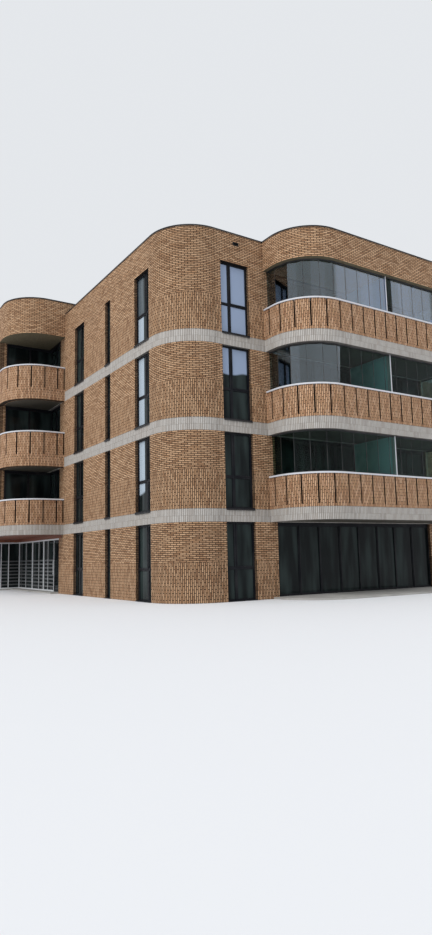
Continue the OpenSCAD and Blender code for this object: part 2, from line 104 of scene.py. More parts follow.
# Tall glazing: start, length and number of lights
FRONT_GLAZING = (3.96, 7.84, 8)
CORNER_GLAZING = (10.72, 1.58, 2)
BAY_GLAZING = (0.0, 2.235, 2)

# Entrance: half length of its screen, inner line of its end screen, and the leaf's
# left side, right side, foot and head
SCREEN_HALF = 3.605
END_SCREEN_Y = 2.74
LEAF = (0.068, 0.938, 0.068, 2.368)


def srgb(r, g, b):
    """Linear colour of a screen colour given as 0 to 255."""
    def lin(c):
        c = c / 255
        return c / 12.92 if c <= 0.04045 else ((c + 0.055) / 1.055) ** 2.4
    return (lin(r), lin(g), lin(b), 1.0)


# Node trees in short form

class Wires:
    """Adds and links nodes of one tree. A value may be a number, a colour or a socket."""

    def __init__(self, tree):
        self.tree = tree

    def put(self, socket, value):
        if isinstance(value, bpy.types.NodeSocket):
            self.tree.links.new(value, socket)
        elif value is not None:
            socket.default_value = value

    def add(self, kind, inputs=(), **settings):
        node = self.tree.nodes.new(kind)
        for key, value in settings.items():
            setattr(node, key, value)
        for key, value in dict(inputs).items():
            self.put(node.inputs[key], value)
        return node

    def math(self, op, a, b=None, c=None):
        node = self.add("ShaderNodeMath", operation=op)
        for i, value in enumerate((a, b, c)):
            self.put(node.inputs[i], value)
        return node.outputs[0]

    def remap(self, value, low, high, to_low=0.0, to_high=1.0, smooth=True):
        node = self.add("ShaderNodeMapRange", {"Value": value, "From Min": low,
                        "From Max": high, "To Min": to_low, "To Max": to_high})
        node.interpolation_type = "SMOOTHSTEP" if smooth else "LINEAR"
        return node.outputs[0]

    def mix(self, share, a, b, blend="MIX"):
        node = self.add("ShaderNodeMix", data_type="RGBA", blend_type=blend)
        self.put(node.inputs[0], share)
        self.put(node.inputs[6], a)
        self.put(node.inputs[7], b)
        return node.outputs[2]

    def choose(self, share, a, b):
        node = self.add("ShaderNodeMix", data_type="FLOAT")
        self.put(node.inputs[0], share)
        self.put(node.inputs[2], a)
        self.put(node.inputs[3], b)
        return node.outputs[0]

    def split(self, vector):
        node = self.add("ShaderNodeSeparateXYZ", {0: vector})
        return node.outputs

    def join(self, x=0.0, y=0.0, z=0.0):
        return self.add("ShaderNodeCombineXYZ", {0: x, 1: y, 2: z}).outputs[0]

    def noise(self, vector, scale, detail=3.0, rough=0.5):
        node = self.add("ShaderNodeTexNoise", {"Vector": vector, "Scale": scale,
                        "Detail": detail, "Roughness": rough})
        return node.outputs[0]

    def ramp(self, value, stops):
        node = self.add("ShaderNodeValToRGB", {0: value})
        bar = node.color_ramp
        bar.elements[0].position, bar.elements[0].color = stops[0]
        bar.elements[1].position, bar.elements[1].color = stops[-1]
        for place, colour in stops[1:-1]:
            bar.elements.new(place).color = colour
        return node.outputs[0]

    def group(self, tree, inputs=()):
        node = self.add("ShaderNodeGroup", node_tree=tree)
        for key, value in dict(inputs).items():
            self.put(node.inputs[key], value)
        return node.outputs


def new_group(name, inputs, outputs):
    """Empty shader group with named sockets; returns its wires, its input and output."""
    tree = bpy.data.node_groups.new(name, "ShaderNodeTree")
    for label, kind, value in inputs:
        socket = tree.interface.new_socket(label, in_out="INPUT", socket_type=kind)
        if value is not None:
            socket.default_value = value
    for label, kind in outputs:
        tree.interface.new_socket(label, in_out="OUTPUT", socket_type=kind)
    wires = Wires(tree)
    source = tree.nodes.new("NodeGroupInput").outputs
    sink = tree.nodes.new("NodeGroupOutput").inputs
    return tree, wires, source, sink


NUMBER, VECTOR = "NodeSocketFloat", "NodeSocketVector"


def path_run_group():
    """Distance along a wall with one round corner, from the distances along and across it.

    Run = min(a, A) + R * atan2(max(a - A, 0), max(b - B, 0)) + B - min(b, B), where the
    corner of radius R starts at A along the first wall and at B across it.
    """
    tree, w, src, out = new_group("wall run", [("Along", NUMBER, 0.0), ("Across", NUMBER, 0.0),
        ("Along Turn", NUMBER, 0.0), ("Across Turn", NUMBER, 0.0)], [("Run", NUMBER)])
    a, b, a_turn, b_turn = src[0], src[1], src[2], src[3]
    past_a = w.math("MAXIMUM", w.math("SUBTRACT", a, a_turn), 0.0)
    past_b = w.math("MAXIMUM", w.math("SUBTRACT", b, b_turn), 0.0)
    turned = w.math("MULTIPLY", w.math("ARCTAN2", past_a, past_b), CORNER_R)
    straight = w.math("ADD", w.math("MINIMUM", a, a_turn),
                      w.math("SUBTRACT", b_turn, w.math("MINIMUM", b, b_turn)))
    w.put(out[0], w.math("ADD", straight, turned))
    return tree


def wall_place_group(path_run):
    """Run along the outer faces of the block and its wings, height, and depth behind them.

    The depth is that of a rounded rectangle: with q the distances past the start of the
    corners, R - |max(q, 0)| - min(max(qx, qy), 0). It is added to the run, so that bricks
    go on round the edge of an opening.
    """
    tree, w, src, out = new_group("wall place", [("Position", VECTOR, None)],
        [("Run", NUMBER), ("Height", NUMBER), ("In Storey", NUMBER), ("Depth", NUMBER)])
    x, y, z = w.split(src[0])
    x, y = w.math("ABSOLUTE", x), w.math("ABSOLUTE", y)
    flat = WING_HALF - CORNER_R
    core = w.group(path_run, {"Along": y, "Across": x, "Along Turn": HALF_L - CORNER_R,
                              "Across Turn": HALF_W - CORNER_R})[0]
    front = w.group(path_run, {"Along": x, "Across": y, "Along Turn": flat,
                               "Across Turn": HALF_L + FRONT_D - CORNER_R})[0]
    side = w.group(path_run, {"Along": y, "Across": x, "Along Turn": flat,
                              "Across Turn": HALF_W + SIDE_D - CORNER_R})[0]
    in_front = w.math("GREATER_THAN", y, HALF_L + PAST_FACE)
    in_side = w.math("GREATER_THAN", x, HALF_W + PAST_FACE)
    run = w.choose(in_side, w.choose(in_front, core, front), side)
    past = []
    for here, plain, at_front, at_side in (
            (x, HALF_W, WING_HALF, HALF_W + SIDE_D), (y, HALF_L, HALF_L + FRONT_D, WING_HALF)):
        turn = w.choose(in_side, w.choose(in_front, plain - CORNER_R, at_front - CORNER_R),
                        at_side - CORNER_R)
        past.append(w.math("SUBTRACT", here, turn))
    far = [w.math("MAXIMUM", p, 0.0) for p in past]
    corner = w.math("SQRT", w.math("MULTIPLY_ADD", far[0], far[0],
                                   w.math("MULTIPLY", far[1], far[1])))
    within = w.math("MINIMUM", w.math("MAXIMUM", past[0], past[1]), 0.0)
    depth = w.math("SUBTRACT", CORNER_R, w.math("ADD", corner, within))
    storey = w.math("MINIMUM", w.math("FLOOR", w.math("DIVIDE", z, STOREY)), STOREYS - 1.0)
    w.put(out[0], w.math("ADD", run, depth))
    w.put(out[1], z)
    w.put(out[2], w.math("SUBTRACT", z, w.math("MULTIPLY", storey, STOREY)))
    w.put(out[3], depth)
    return tree


def bond_group():
    """Bricks of one length laid in courses: a mask that is 0 in the joints, one that is 1 in
    the joints between the ends of two bricks, and two random numbers a brick.

    Each course is moved on by Shift bricks. The caller swaps Rise and Along where bricks
    stand on end.
    """
    tree, w, src, out = new_group("brick bond", [("Along", NUMBER, 0.0), ("Rise", NUMBER, 0.0),
        ("Shift", NUMBER, 0.5), ("Joint", NUMBER, JOINT), ("End Joint", NUMBER, JOINT)],
        [("Brick", NUMBER), ("End Joint", NUMBER), ("Tone", NUMBER), ("Tone B", NUMBER)])
    along, rise, shift = src[0], src[1], src[2]
    row_at = w.math("DIVIDE", rise, COURSE)
    row = w.math("FLOOR", row_at)
    odd = w.math("FLOORED_MODULO", row, 2.0)
    col_at = w.math("MULTIPLY_ADD", odd, shift, w.math("DIVIDE", along, BRICK_L))
    col = w.math("FLOOR", col_at)
    masks = []
    for at, cell, size, joint in ((row_at, row, COURSE, src[3]), (col_at, col, BRICK_L, src[4])):
        part = w.math("SUBTRACT", at, cell)
        gap = w.math("MULTIPLY", w.math("MINIMUM", part, w.math("SUBTRACT", 1.0, part)), size)
        half = w.math("MULTIPLY", joint, 0.5)
        masks.append(w.remap(gap, w.math("SUBTRACT", half, 0.0025), w.math("ADD", half, 0.0025)))
    w.put(out[0], w.math("MINIMUM", masks[0], masks[1]))
    w.put(out[1], w.math("SUBTRACT", 1.0, masks[1]))
    tones = w.add("ShaderNodeTexWhiteNoise", {"Vector": w.join(col, row, 7.0)},
                  noise_dimensions="3D")
    w.put(out[2], tones.outputs["Value"])
    w.put(out[3], w.split(tones.outputs["Color"])[2])
    return tree


def streaks_and_shade_group():
    """Slow patches and vertical streaks over a wall, around 1, and painted shade near the ground.
    """
    tree, w, src, out = new_group("wall streaks and shade", [("Run", NUMBER, 0.0), ("Height", NUMBER, 0.0),
        ("Amount", NUMBER, 0.1)], [("Shade", NUMBER)])
    patches = w.noise(w.join(src[0], src[1], 2.0), 0.45, 2.0)
    streaks = w.noise(w.join(w.math("MULTIPLY", src[0], 5.0),
                             w.math("MULTIPLY", src[1], 0.5), 4.0), 1.0, 3.0)
    both = w.math("ADD", w.math("MULTIPLY", patches, 0.65), w.math("MULTIPLY", streaks, 0.35))
    centred = w.math("SUBTRACT", both, 0.5)
    shade = w.math("MULTIPLY_ADD", centred, w.math("MULTIPLY", src[2], 4.0), 1.0)
    # Painted shade, darker towards the ground.
    low, high, ground_shade = 1.0, 9.0, 0.91
    w.put(out[0], w.math("MULTIPLY", shade, w.remap(src[1], low, high, ground_shade, 1.0)))
    return tree


PATH_RUN = path_run_group()
WALL_PLACE = wall_place_group(PATH_RUN)
BOND = bond_group()
STREAKS_AND_SHADE = streaks_and_shade_group()


def new_material(name):
    """Material with a Principled shader; returns it, its wires and the shader's inputs."""
    material = bpy.data.materials.new(name)
    material.use_nodes = True
    w = Wires(material.node_tree)
    shader = material.node_tree.nodes["Principled BSDF"]
    return material, w, shader.inputs


def object_place(w):
    """Place of a point in the frame's axes."""
    return w.add("ShaderNodeTexCoord").outputs["Object"]


def bump(w, height, distance, strength=1.0):
    """Normal of a relief, where a height of 1 stands for the distance."""
    return w.add("ShaderNodeBump", {"Height": height, "Distance": distance,
                                    "Strength": strength}).outputs[0]


def brick_material(name, tones, joints, upright, shade=0.10, joint=JOINT, end_joint=JOINT,
                   shift=0.5, relief=0.007, row_from=0.0, blush=None, reveal_shade_strength=0.62):
    """Fired brick in bond, with painted shade inside the openings, its strength set by the last
    argument.

    upright is "low" for bricks on end only low in each storey, as in the block's walls, which
    have painted shade round the block's corners, and "all" for a wall of bricks on end. joints are
    the colours of long joints and of those between brick ends; blush is the colour of faint
    specks; row_from moves the rows up. Undersides of the wings' attics are plastered.
    """
    material, w, shader = new_material(name)
    place = object_place(w)
    run, height, level, depth = w.group(WALL_PLACE, {"Position": place})[0:4]
    if upright == "low":
        above = w.math("SUBTRACT", level, UPRIGHT_H)
        standing = w.math("LESS_THAN", level, UPRIGHT_H)
        sizes = {"Shift": shift, "Joint": joint, 4: end_joint}
        flat = w.group(BOND, {"Along": run, "Rise": above, **sizes})
        tall = w.group(BOND, {"Along": level, "Rise": run, **sizes})
        mask, ends, tone, tone_b = [w.choose(standing, flat[i], tall[i]) for i in range(4)]
    else:
        up = w.math("ADD", level, row_from)
        mask, ends, tone, tone_b = w.group(BOND, {"Along": up, "Rise": run, "Shift": shift,
                                                  "Joint": joint, 4: end_joint})[0:4]
    streaks_and_shade = w.group(STREAKS_AND_SHADE, {"Run": run, "Height": height, "Amount": shade})[0]
    if upright == "low":
        # Painted shade round the block's corners, a little lighter on the flat walls.
        middle = HALF_L - CORNER_R + CORNER_R * math.pi / 4
        off = w.math("ABSOLUTE", w.math("SUBTRACT", run, middle))
        corner_shade, on_wall = 0.87, 1.02
        streaks_and_shade = w.math("MULTIPLY", streaks_and_shade, w.remap(off, 0.9, 2.0, corner_shade, on_wall))
    grain = w.noise(place, 95.0, 4.0, 0.6)
    speck = w.noise(place, 22.0, 2.0, 0.5)
    face = w.ramp(tone, tones)
    face = w.mix(w.remap(speck, 0.35, 0.75, 0.0, 0.25), face, blush)
    bright = w.math("MULTIPLY", w.remap(grain, 0.2, 0.8, 0.9, 1.1, False),
                    w.remap(tone_b, 0.0, 1.0, 1.0 - 0.6 * shade, 1.0 + 0.6 * shade, False))
    shaded = w.math("MULTIPLY", streaks_and_shade, bright)
    face = w.mix(1.0, face, w.join(shaded, shaded, shaded), "MULTIPLY")
    wall = w.mix(mask, w.mix(ends, joints[0], joints[1]), face)
    # Painted shade on faces behind the wall's face, in the reveals of openings and in slots.
    behind_face = w.remap(depth, 0.004, 0.012)
    before_room = w.remap(depth, 0.22, 0.26, 1.0, 0.0)
    painted_reveal_shade = w.math("MULTIPLY", w.math("MULTIPLY", behind_face, before_room),
                       w.math("LESS_THAN", height, ATTIC_Z + 0.01))
    wall = w.mix(w.math("MULTIPLY", painted_reveal_shade, reveal_shade_strength), wall, srgb(30, 25, 23))
    x, y, z = w.split(place)
    on_wing = w.math("MAXIMUM",
                     w.math("GREATER_THAN", w.math("ABSOLUTE", x), HALF_W + PAST_FACE),
                     w.math("GREATER_THAN", w.math("ABSOLUTE", y), HALF_L + PAST_FACE))
    under = w.math("MULTIPLY", on_wing, w.math("COMPARE", z, ATTIC_Z, 0.003))
    plaster = w.mix(w.remap(speck, 0.3, 0.7), srgb(96, 88, 70), srgb(112, 104, 84))
    wall = w.mix(under, wall, plaster)
    mask = w.math("MAXIMUM", mask, under)
    w.put(shader["Base Color"], wall)
    w.put(shader["Roughness"], w.remap(grain, 0.2, 0.8, 0.78, 0.95))
    w.put(shader["Normal"], bump(w, w.math("MULTIPLY_ADD", grain, 0.18, mask), relief))
    shader["Specular IOR Level"].default_value = 0.25
    return material


def coated_metal(name, colour, rough=0.4, dusty=0.18, gloss=0.5):
    """Powder coated metal: a fine orange peel, dust in slow patches."""
    material, w, shader = new_material(name)
    place = object_place(w)
    dust = w.remap(w.noise(place, 1.7, 4.0), 0.4, 0.8, 0.0, dusty)
    w.put(shader["Base Color"], w.mix(dust, colour, srgb(172, 170, 166)))
    w.put(shader["Roughness"], w.remap(w.noise(place, 9.0, 3.0), 0.3, 0.7, rough - 0.08,
                                       rough + 0.12))
    w.put(shader["Normal"], bump(w, w.noise(place, 420.0, 2.0), 0.0002, 0.5))
    shader["Specular IOR Level"].default_value = gloss
    return material


def screen_metal():
    """Light grey coated metal of the entrance screens, with painted shade on the slats set back
    from it.
    """
    material, w, shader = new_material("light grey metal")
    place = object_place(w)
    x, y = w.split(place)[0:2]
    dust = w.remap(w.noise(place, 1.7, 4.0), 0.4, 0.8, 0.0, 0.2)
    base = w.mix(dust, srgb(220, 223, 226), srgb(230, 230, 228))
    # Painted shade on faces set back behind the screens' fronts, the slats among them.
    line, near, far = HALF_W - REVEAL, 0.0015, 0.0035
    off = w.math("ABSOLUTE", x)
    back = w.remap(off, line - far, line - near, 1.0, 0.0)
    inner = w.math("MULTIPLY", w.remap(y, END_SCREEN_Y - far, END_SCREEN_Y - near),
                   w.math("GREATER_THAN", off, line + 0.0005))
    deep = w.math("MAXIMUM", back, inner)
    w.put(shader["Base Color"], w.mix(w.math("MULTIPLY", deep, 0.9), base, srgb(44, 47, 47)))
    w.put(shader["Roughness"], w.remap(w.noise(place, 9.0, 3.0), 0.3, 0.7, 0.34, 0.54))
    w.put(shader["Normal"], bump(w, w.noise(place, 420.0, 2.0), 0.0002, 0.5))
    return material


def board_material():
    """Stained boards 140 mm wide running along the wall, with grain and dark grooves."""
    material, w, shader = new_material("stained boards")
    place = object_place(w)
    width = 0.14
    x, y, z = w.split(place)
    at = w.math("DIVIDE", x, width)
    board = w.math("FLOOR", at)
    across = w.math("SUBTRACT", at, board)
    edge = w.math("MINIMUM", across, w.math("SUBTRACT", 1.0, across))
    groove = w.remap(edge, 0.015, 0.04)
    tint = w.add("ShaderNodeTexWhiteNoise", {"Vector": w.join(board, 3.0, 1.0)},
                 noise_dimensions="3D").outputs["Value"]
    fibre = w.noise(w.join(w.math("MULTIPLY", x, 40.0), w.math("MULTIPLY", y, 1.6),
                           w.math("MULTIPLY", z, 40.0)), 1.0, 4.0, 0.6)
    colour = w.mix(w.math("MULTIPLY_ADD", fibre, 0.7, w.math("MULTIPLY", tint, 0.3)),
                   srgb(92, 50, 36), srgb(142, 84, 60))
    w.put(shader["Base Color"], w.mix(groove, srgb(38, 22, 18), colour))
    w.put(shader["Roughness"], w.remap(fibre, 0.3, 0.7, 0.45, 0.65))
    w.put(shader["Normal"], bump(w, w.math("MULTIPLY_ADD", fibre, 0.2, groove), 0.003))
    return material


def balcony_glass_material():
    """Frameless glass, clear low down; higher up a painted sky reflection, as a blue tint and a
    strong coat.

    The coat begins 8.4 to 8.9 m up, a little differently for each panel. Where the glass is
    round it begins 2.2 m lower and is weaker. The panel that looks open in the photo has none.
    """
    material, w, shader = new_material("balcony glass")
    place = object_place(w)
    run, height = w.group(WALL_PLACE, {"Position": place})[0:2]
    panel = w.add("ShaderNodeTexWhiteNoise", {"Vector": w.join(w.math("FLOOR",
                  w.math("DIVIDE", w.math("ADD", run, FIRST_JOINT), PANEL_W)), w.math("FLOOR",
                  w.math("DIVIDE", height, STOREY)), 2.0)}, noise_dimensions="3D").outputs["Value"]
    open_middle, open_half = 0.17, 0.15
    ajar = w.math("MULTIPLY", w.math("COMPARE", w.split(place)[0], open_middle, open_half),
                  w.math("GREATER_THAN", height, TOP_FLOOR))
    round_part = w.remap(run, 2.55, 2.75)
    reach = w.math("MULTIPLY_ADD", round_part, 2.2, w.math("MULTIPLY_ADD", panel, 0.5, height))
    share = w.math("MULTIPLY_ADD", round_part, -0.46, w.math("MULTIPLY_ADD", panel, 0.15, 0.78))
    # Painted sky reflection, higher up on each panel, weaker where the glass is round.
    painted_sky = w.math("MULTIPLY", w.remap(reach, 8.9, 9.4), share)
    painted_sky = w.math("MULTIPLY", painted_sky, w.math("SUBTRACT", 1.0, ajar))
    film = w.remap(w.noise(place, 1.1, 5.0, 0.6), 0.35, 0.8)
    tint = w.mix(painted_sky, srgb(180, 206, 198), srgb(140, 186, 240))
    w.put(shader["Base Color"], w.mix(w.math("MULTIPLY", film, 0.05), tint, srgb(205, 212, 218)))
    w.put(shader["Roughness"], w.remap(film, 0.0, 1.0, 0.01, 0.03))
    w.put(shader["Coat Weight"], painted_sky)
    w.put(shader["Normal"], bump(w, w.noise(place, 0.9, 1.0), 0.004, 0.25))
    shader["Transmission Weight"].default_value = 1.0
    shader["IOR"].default_value = 1.18
    shader["Coat IOR"].default_value = 2.8
    return material


def window_glass_material():
    """Window panes with painted shade of the dark rooms behind, and a painted sky reflection in
    some of those near the corners.

    The reflection begins at a height that slow noise moves up and down. On the fronts it is in the
    windows beside the wings. On the sides it begins lower and is in part of the wide pane
    nearest each corner, but not in the topmost one.
    """
    material, w, shader = new_material("window pane")
    place = object_place(w)
    x, y, z = w.split(place)
    folds = w.noise(w.join(w.math("MULTIPLY", x, 2.4), w.math("MULTIPLY", y, 2.4),
                           w.math("MULTIPLY", z, 0.4)), 1.0, 2.0)
    patch = w.noise(place, 0.5, 2.0)
    ax, ay = w.math("ABSOLUTE", x), w.math("ABSOLUTE", y)
    behind, past_wing = 0.2, 4.5
    pane_middle, pane_half = 11.66, 0.24
    beside = w.math("MULTIPLY", w.math("GREATER_THAN", ax, HALF_W - behind),
                    w.math("COMPARE", ay, pane_middle, pane_half))
    before = w.math("MULTIPLY", w.math("GREATER_THAN", ay, HALF_L - behind),
                    w.math("GREATER_THAN", ax, past_wing))
    reflection_from, edge, lower_at_side = 8.22, 0.08, 3.85
    level = w.math("MULTIPLY_ADD", beside, lower_at_side, w.math("MULTIPLY_ADD", patch, 1.2, z))
    lift = w.remap(level, reflection_from, reflection_from + edge)
    # Painted sky reflection, paler in the side panes near the corners.
    painted_sky = w.mix(beside, srgb(146, 161, 186), srgb(162, 175, 186))
    shut = w.math("MULTIPLY", beside, w.math("GREATER_THAN", z, TOP_FLOOR + TRANSOM[1]))
    painted_sky = w.mix(w.math("MULTIPLY", shut, w.remap(folds, 0.3, 0.6, 0.98, 0.8)), painted_sky,
                srgb(40, 48, 50))
    # Painted shade of the dark rooms behind the panes.
    painted_room = w.mix(w.remap(folds, 0.35, 0.7), srgb(16, 21, 22), srgb(46, 56, 55))
    colour = w.mix(w.math("MULTIPLY", lift, w.math("ADD", beside, before)), painted_room, painted_sky)
    w.put(shader["Base Color"], colour)
    w.put(shader["Roughness"], w.remap(patch, 0.3, 0.7, 0.02, 0.06))
    shader["IOR"].default_value = 1.2
    return material


def frosted_material():
    """Satin glass, blue green, soft on both faces, with painted daylight making it paler towards
    its outer edge.
    """
    material, w, shader = new_material("frosted glass")
    place = object_place(w)
    y = w.split(place)[1]
    cloud = w.noise(place, 2.2, 3.0)
    # Painted daylight, paler towards the outer edge where the screen is open to the sky.
    outer = w.remap(w.math("ABSOLUTE", y), HALF_L + 0.5, HALF_L + 1.8)
    body = w.mix(w.remap(cloud, 0.3, 0.7), srgb(104, 170, 168), srgb(132, 192, 190))
    w.put(shader["Base Color"], w.mix(outer, body, srgb(186, 238, 250)))
    w.put(shader["Roughness"], w.remap(cloud, 0.3, 0.7, 0.35, 0.5))
    w.put(shader["Normal"], bump(w, w.noise(place, 600.0, 2.0), 0.0003, 0.6))
    shader["Coat Weight"].default_value = 0.3
    return material


def plaster_material(name, low, high, scale=6.0):
    """Trowelled or cast surface with fine pits and slow patches."""
    material, w, shader = new_material(name)
    place = object_place(w)
    patch = w.noise(place, 0.6, 5.0, 0.6)
    grit = w.noise(place, scale * 20.0, 3.0)
    base = w.mix(w.remap(patch, 0.35, 0.7), low, high)
    w.put(shader["Base Color"], w.mix(w.remap(grit, 0.4, 0.8, 0.0, 0.25), base,
                                      tuple(0.8 * c for c in low[:3]) + (1.0,)))
    w.put(shader["Roughness"], w.remap(grit, 0.3, 0.7, 0.75, 0.95))
    w.put(shader["Normal"], bump(w, grit, 0.002))
    return material


def roofing_material():
    """Roofing felt in rolls one metre wide, with grit."""
    material, w, shader = new_material("roofing felt")
    place = object_place(w)
    x = w.split(place)[0]
    lap = w.math("FRACT", w.math("ADD", x, 0.37))
    seam = w.remap(w.math("ABSOLUTE", w.math("SUBTRACT", lap, 0.5)), 0.485, 0.5)
    grit = w.noise(place, 160.0, 3.0)
    patch = w.noise(place, 0.5, 4.0)
    base = w.mix(w.remap(patch, 0.3, 0.7), srgb(116, 118, 119), srgb(131, 132, 131))
    base = w.mix(w.math("MULTIPLY", seam, 0.8), base, srgb(56, 56, 58))
    w.put(shader["Base Color"], w.mix(w.remap(grit, 0.4, 0.7, 0.0, 0.4), base,
                                      srgb(92, 93, 95)))
    w.put(shader["Roughness"], w.remap(grit, 0.3, 0.7, 0.85, 1.0))
    w.put(shader["Normal"], bump(w, w.math("MULTIPLY_ADD", seam, 1.5, grit), 0.002))
    return material


BRICK_TONES = [(0.0, srgb(156, 119, 89)), (0.25, srgb(179, 142, 109)), (0.5, srgb(193, 156, 122)),
               (0.75, srgb(206, 169, 134)), (1.0, srgb(182, 141, 105))]
PANEL_TONES = [(0.0, srgb(164, 124, 94)), (0.3, srgb(186, 146, 112)), (0.6, srgb(198, 158, 124)),
               (0.85, srgb(208, 170, 138)), (1.0, srgb(184, 146, 110))]
PALE_TONES = [(0.0, srgb(168, 162, 156)), (0.3, srgb(182, 177, 171)), (0.7, srgb(190, 186, 181)),
              (1.0, srgb(178, 171, 163))]
MATERIALS = {
    "brick": brick_material("buff brick", BRICK_TONES, (srgb(34, 23, 15), srgb(14, 10, 7)), "low",
                            joint=0.0210, end_joint=0.0195, blush=srgb(150, 108, 78)),
    "panel_brick": brick_material("parapet brick", PANEL_TONES, (srgb(42, 28, 19),
                                  srgb(20, 13, 9)), "all", joint=0.0185, end_joint=0.017,
                                  relief=0.004, blush=srgb(146, 106, 82), reveal_shade_strength=0.93),
    "pale_brick": brick_material("pale brick", PALE_TONES, (srgb(96, 90, 82), srgb(128, 122, 114)),
                                 "all", shade=0.06, joint=0.014, end_joint=0.006, shift=0.0,
                                 relief=0.004, row_from=BAND_H, blush=srgb(160, 152, 144)),
    "concrete": plaster_material("cast concrete", srgb(152, 150, 146), srgb(178, 176, 171)),
    "soffit": plaster_material("dark plaster", srgb(72, 68, 58), srgb(92, 87, 76)),
    "roofing": roofing_material(),
    "ceiling_boards": board_material(),
    "trim": coated_metal("black trim", srgb(30, 29, 31), 0.45, 0.08, 0.3),
    "coping": coated_metal("pale coping", srgb(204, 205, 210), 0.5),
    "rail": coated_metal("dark rail", srgb(48, 48, 50), 0.4, 0.1, 0.4),
    "frame": coated_metal("black frame", srgb(11, 13, 20), 0.46, 0.03, 0.2),
    "entrance_metal": screen_metal(),
    "balcony_glass": balcony_glass_material(),
    "window_glass": window_glass_material(),
    "frosted_glass": frosted_material(),
}


# Meshes worked out with arrays

def mesh_piece(name, points, faces, slot, body="building"):
    """Object at the origin from an array of points and an array of faces of one size."""
    points = np.asarray(points, np.float64).reshape(-1, 3)
    mesh = bpy.data.meshes.new(name)
    mesh.from_pydata(points.tolist(), [], [list(map(int, f)) for f in faces])
    mesh.validate()
    mesh.update()
    piece = bpy.data.objects.new(name, mesh)
    bpy.context.scene.collection.objects.link(piece)
    mesh.materials.append(MATERIALS[slot])
    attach(piece, body)
    return piece


def tube_faces(rings, sides, first=0):
    """Quads between rings of points, and a face with all points of each end ring."""
    r = np.arange(rings - 1)[:, None]
    s = np.arange(sides)[None, :]
    a = r * sides + s
    b = r * sides + (s + 1) % sides
    quads = np.stack([a, b, b + sides, a + sides], -1).reshape(-1, 4) + first
    caps = [list(range(first + sides - 1, first - 1, -1)),
            list(range(first + (rings - 1) * sides, first + rings * sides))]
    return quads.tolist() + caps


def outward(points, faces):
    """A closed form with its faces turned outwards.

    Its volume is a sixth of the sum of a . (b x c) over the triangles; where that is
    negative, every face is reversed.
    """
    points = np.asarray(points, float).reshape(-1, 3)
    volume = 0.0
    for face in faces:
        p = points[list(face)]
        volume += float(np.sum(np.cross(p[1:-1], p[2:]) @ p[0]))
    return points, (faces if volume > 0 else [list(face)[::-1] for face in faces])


def ring(place, x0, x1, z0, z1, profile):
    """A closed profile of (inwards, deep) points carried round a rectangle.

    Each point keeps its distance from all four sides, so that the corners are mitred.
    """
    a, deep = np.asarray(profile, float).T
    corners = ((x0 + a, z0 + a), (x1 - a, z0 + a), (x1 - a, z1 - a), (x0 + a, z1 - a))
    points = np.stack([place(x, deep, z) for x, z in corners])
    n = len(a)
    r, s = np.arange(4)[:, None], np.arange(n)[None, :]
    here, there = r * n, ((r + 1) % 4) * n
    on = (s + 1) % n
    quads = np.stack([here + s, here + on, there + on, there + s], -1).reshape(-1, 4)
    return outward(points, quads.tolist())


def strip(place, x0, x1, profile):
    """A closed profile of (deep, up) points carried straight from x0 to x1."""
    deep, up = np.asarray(profile, float).T
    points = np.stack([place(np.full(len(deep), x), deep, up) for x in (x0, x1)])
    return outward(points, tube_faces(2, len(deep)))


def wing_line(depth, inset, spots):
    """Points and outward directions on a wing's outline set in by inset, in its own axes.

    spots are distances from the wing's middle: straight to the corner, then
    (flat + r sin t, side + r cos t) round it, then straight back to the wall.
    """
    flat, side, r = WING_HALF - CORNER_R, depth - CORNER_R, CORNER_R - inset
    s = np.abs(spots)
    turn = np.clip((s - flat) / r, 0, math.pi / 2)
    back = np.maximum(s - flat - r * math.pi / 2, 0)
    u = np.minimum(s, flat) + r * np.sin(turn)
    v = side + r * np.cos(turn) - back
    sign = np.where(np.asarray(spots) < 0, -1.0, 1.0)
    return np.stack([u * sign, v], -1), np.stack([np.sin(turn) * sign, np.cos(turn)], -1)


def line_half(depth, inset):
    """Length of a wing's outline, set in by inset, from its middle to the wall."""
    return WING_HALF - CORNER_R + (CORNER_R - inset) * math.pi / 2 + depth - CORNER_R


# Each face of the block: direction along the wall, direction outwards, distance of the wall
# from the middle of the block, and depth of the wing
FACES = {"front": ((-1, 0), (0, -1), HALF_L, FRONT_D), "back": ((1, 0), (0, 1), HALF_L, FRONT_D),
         "left": ((0, 1), (-1, 0), HALF_W, SIDE_D), "right": ((0, -1), (1, 0), HALF_W, SIDE_D)}


def to_face(face, uv):
    """Plan points of a face's own axes, along and outwards, in the frame's axes."""
    along, out, wall = FACES[face][:3]
    uv = np.asarray(uv, float)
    return uv[..., :1] * np.array(along) + (uv[..., 1:] + wall) * np.array(out)


def sweep(face, inset, spots, profile, z):
    """A closed profile of (outwards, up) points carried along a wing's outline."""
    depth = FACES[face][3]
    line, out = wing_line(depth, inset, np.asarray(spots, float))
    profile = np.asarray(profile, float)
    plan = to_face(face, line[:, None, :] + out[:, None, :] * profile[None, :, :1])
    up = np.broadcast_to(profile[None, :, 1:] + z, plan.shape[:2] + (1,))
    return np.concatenate([plan, up], -1)


def join(parts):
    """Many (points, faces) pairs as one, with the faces' numbers moved on."""
    points, faces, start = [], [], 0
    for p, f in parts:
        p = np.asarray(p, float).reshape(-1, 3)
        points.append(p)
        faces += [[int(i) + start for i in face] for face in f]
        start += len(p)
    return np.concatenate(points), faces


def wing_spots(start, end, step=0.12):
    """Distances from start to end, at most one step apart."""
    count = max(2, int(math.ceil(abs(end - start) / step)) + 1)
    return np.linspace(start, end, count)


COPING_PROFILE = [(0.03, 0.0), (0.03, 0.046), (0.022, 0.0545), (-0.290, 0.048), (-0.30, 0.040),
                  (-0.30, 0.0), (-0.288, 0.0), (-0.285, 0.012), (-0.262, 0.012), (-0.258, 0.0),
                  (0.010, 0.0), (0.013, 0.010), (0.019, 0.010), (0.021, 0.0)]


